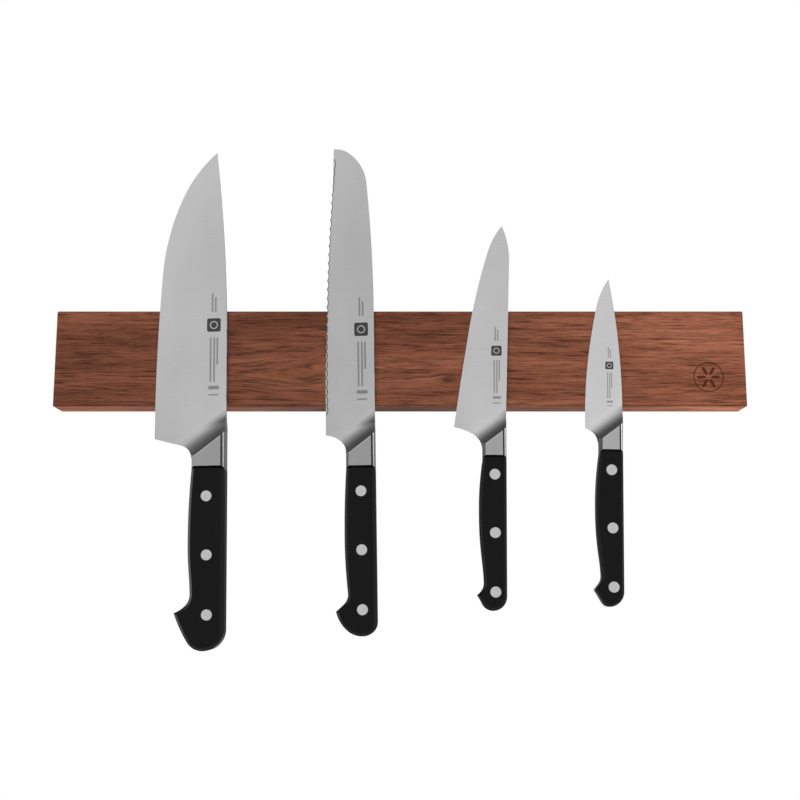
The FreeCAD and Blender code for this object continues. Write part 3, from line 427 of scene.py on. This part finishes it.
def rivet_steel(knife):
    """Lightly blasted rivet steel, mottled, with a dark seam round each head."""
    s = Shader(f"{knife}_rivet_steel")
    mottle = s.noise(s.moved(), 1500, 4, 0.7)
    x, _y, z = s.axes(s.place)
    nearest = FAR
    for right, up in rivet_axes(knife):
        across, rise = s.math("SUBTRACT", x, right), s.math("SUBTRACT", z, up)
        square = s.math("ADD", s.math("MULTIPLY", across, across), s.math("MULTIPLY", rise, rise))
        nearest = s.math("MINIMUM", nearest, s.math("SQRT", square))
    seam = s.math("DIVIDE", s.math("SUBTRACT", nearest, RIVET_SEAM), SEAM_SOFT, clamp=True)
    bright = s.ramp(mottle, ((0.36, 0.66), (0.62, 0.88)))
    s.set(Base_Color=s.mix(seam, bright, (0.012, 0.012, 0.012)))
    s.set(Metallic=0.85, Roughness=s.ramp(mottle, ((0.3, 0.52), (0.7, 0.40))))
    s.bump(mottle, 0.00005, 0.5)
    return s.material


def plated_steel(name, tone, rough, scale):
    """Plated steel hardware with a faint patchy finish."""
    s = Shader(name)
    patch = s.noise(s.moved(), scale, 4, 0.6)
    low = tuple(0.86 * value for value in tone)
    s.set(Base_Color=s.ramp(patch, ((0.35, low), (0.65, tone))))
    s.set(Metallic=1.0, Roughness=s.ramp(patch, ((0.3, rough + 0.08), (0.7, rough))))
    s.bump(patch, 0.00003, 0.3)
    return s.material


def back_panel():
    """Sanded hardwood panel, unfinished, with long plain grain."""
    s = Shader("back_panel")
    broad = s.noise(s.moved(scale=(0.7, 5, 9)), 5.0, 3, 0.5, 0.5)
    fine = s.noise(s.moved(scale=(8, 150, 240)), 5.0, 3, 0.6)
    colour = s.ramp(broad, ((0.3, (0.20, 0.105, 0.058)), (0.7, (0.37, 0.215, 0.125))))
    colour = s.times(colour, s.ramp(fine, ((0.3, 0.80), (0.65, 1.12))))
    s.set(Base_Color=colour, Roughness=s.ramp(fine, ((0.3, 0.78), (0.7, 0.66))))
    s.set(Specular_IOR_Level=0.25)
    s.bump(fine, 0.00015, 0.4)
    return s.material


def paint(node, material):
    """Gives a CAD node one material in every slot."""
    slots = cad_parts[node].material_slots
    for index in range(len(slots)):
        slots[index].link = "OBJECT"
        slots[index].material = material


def paint_all():
    zinc = plated_steel("zinc", (0.62, 0.62, 0.60), 0.30, 260)
    brassy = plated_steel("yellow_zinc", (0.70, 0.62, 0.42), 0.28, 900)
    mill = plated_steel("mill_steel", (0.40, 0.40, 0.41), 0.42, 120)
    nickel = plated_steel("nickel", (0.72, 0.71, 0.68), 0.16, 400)
    black = handle_black()
    paint("bar_body", walnut())
    paint("back_cover", back_panel())
    for side in ("left", "right"):
        paint(f"keyhole_plate_{side}", zinc)
    for row in ("upper", "lower"):
        paint(f"magnets_{row}", nickel)
        paint(f"keeper_{row}", mill)
    for screws in ("cover_screws", "keeper_screws", "hanger_screws"):
        paint(screws, brassy)
    for knife in KNIVES:
        rivet = rivet_steel(knife)
        paint(f"{knife}_blade", blade_steel(knife))
        for side in ("front", "back"):
            paint(f"{knife}_{side}_scale", black)
        for half in ("pins", "sleeves"):
            paint(f"{knife}_rivet_{half}", rivet)


# ---- light, floor and camera -------------------------------------------------------------

# How far the floor lies below the bar, and how far it reaches from the middle.
FLOOR_DROP = 1.15
FLOOR_REACH = 2.4

# How bright the surroundings are that steel mirrors, by how far round from the front they
# lie: 0 is straight in front of the bar, 0.5 is level with it and 1 is straight behind it.
LEFT_AND_RIGHT = (
    (0.00, 0.64), (0.12, 0.66), (0.16, 0.80), (0.19, 0.78), (0.235, 0.035), (0.46, 0.035),
    (0.50, 0.95), (0.62, 0.95), (0.68, 0.17), (1.00, 0.15),
)
ABOVE_AND_BELOW = (
    (0.00, 0.64), (0.10, 0.66), (0.17, 0.82), (0.25, 0.60), (0.36, 0.26), (0.50, 0.10),
    (0.60, 0.25), (1.00, 0.50),
)

# Each soft box: its place, its width and height, its power in watts, whether steel mirrors
# it, and the point it faces.
BAR_MIDDLE = (0, 0, 0)
LIGHTS = {
    "key": ((-0.9, -1.1, 0.9), (1.0, 1.0), 9, False, BAR_MIDDLE),
    "low": ((0.5, -0.7, -0.9), (1.2, 0.8), 0.6, False, BAR_MIDDLE),
    "back": ((0.7, 1.2, 0.6), (1.0, 1.0), 9, False, BAR_MIDDLE),
    "floor_wash": ((0, 0.1, -0.45), (3.4, 3.4), 24, False, (0, 0.1, -2)),
    "left_strip": ((-1.3, 0.10, -0.05), (0.50, 1.3), 10, True, BAR_MIDDLE),
    "right_strip": ((1.3, -0.25, -0.05), (0.40, 1.3), 3.2, True, BAR_MIDDLE),
}

# The camera stands in front and a little below, and is tilted up (radians). Its lens and
# the width of its sensor are in millimetres.
CAMERA_PLACE = (0, -0.8061, -0.1649)
CAMERA_TILT = 0.172167
CAMERA_LENS = 53.157
CAMERA_SENSOR = 36


def make_studio():
    """Plain white for the eye, and soft boxes for everything that mirrors them: light grey
    in front with a lighter ring about it, then dark gaps, a tall bright box at each side
    and dim grey behind."""
    world = bpy.data.worlds.new("studio")
    bpy.context.scene.world = world
    n = Nodes(world)
    x, y, z = n.axes(n.new("ShaderNodeTexCoord").outputs["Generated"])
    turn = n.math("DIVIDE", n.math("ARCCOSINE", n.math("MULTIPLY", y, -1.0)), math.pi)
    flat = n.math("SQRT", n.math("ADD", n.math("MULTIPLY", x, x), n.math("MULTIPLY", z, z)))
    upright = n.math("DIVIDE", n.math("ABSOLUTE", z), n.math("MAXIMUM", flat, 0.0001))
    share = n.ramp(upright, ((0.40, 0.0), (0.72, 1.0)))
    mirrored = n.mix(share, n.ramp(turn, LEFT_AND_RIGHT), n.ramp(turn, ABOVE_AND_BELOW))

    boxes, white = n.new("ShaderNodeBackground"), n.new("ShaderNodeBackground")
    n.feed(boxes.inputs["Color"], mirrored)
    n.feed(white.inputs["Color"], (1, 1, 1, 1))
    choose = n.new("ShaderNodeMixShader")
    n.link(n.new("ShaderNodeLightPath").outputs["Is Camera Ray"], choose.inputs[0])
    n.link(boxes.outputs[0], choose.inputs[1])
    n.link(white.outputs[0], choose.inputs[2])
    n.link(choose.outputs[0], n.new("ShaderNodeOutputWorld").inputs["Surface"])


def make_floor():
    """A plain pale floor well below the bar."""
    low = cad_box[0][2] - FLOOR_DROP
    mesh = bpy.data.meshes.new("floor")
    corners = [(x * FLOOR_REACH, y * FLOOR_REACH, low)
               for x, y in ((-1, -1), (1, -1), (1, 1), (-1, 1))]
    mesh.from_pydata(corners, [], [(0, 1, 2, 3)])
    floor = bpy.data.objects.new("floor", mesh)
    bpy.context.collection.objects.link(floor)
    s = Shader("floor")
    cloud = s.noise(s.moved(), 3, 2, 0.5)
    s.set(Base_Color=s.ramp(cloud, ((0.3, 0.80), (0.7, 0.84))), Roughness=0.8)
    mesh.materials.append(s.material)


def make_light(name, place, size, power, mirrored, aim):
    """A soft box that faces the point it is aimed at."""
    light = bpy.data.lights.new(name, "AREA")
    light.shape = "RECTANGLE"
    light.size, light.size_y = size
    light.energy = power
    thing = bpy.data.objects.new(name, light)
    thing.location = place
    thing.rotation_euler = (Vector(aim) - Vector(place)).to_track_quat("-Z", "Y").to_euler()
    thing.visible_camera = False
    thing.visible_glossy = mirrored
    bpy.context.collection.objects.link(thing)


def make_camera():
    """Looks up at the bar from below its middle."""
    data = bpy.data.cameras.new("camera")
    data.sensor_width = CAMERA_SENSOR
    data.lens = CAMERA_LENS
    camera = bpy.data.objects.new("camera", data)
    camera.location = CAMERA_PLACE
    camera.rotation_euler = (math.pi / 2 + CAMERA_TILT, 0, 0)
    bpy.context.collection.objects.link(camera)
    bpy.context.scene.camera = camera


paint_all()
make_studio()
make_floor()
for light, settings in LIGHTS.items():
    make_light(light, *settings)
make_camera()
# The steel mirrors the soft boxes and not the bar behind it.
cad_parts["bar_body"].visible_glossy = False
bpy.context.scene.view_settings.view_transform = "Standard"
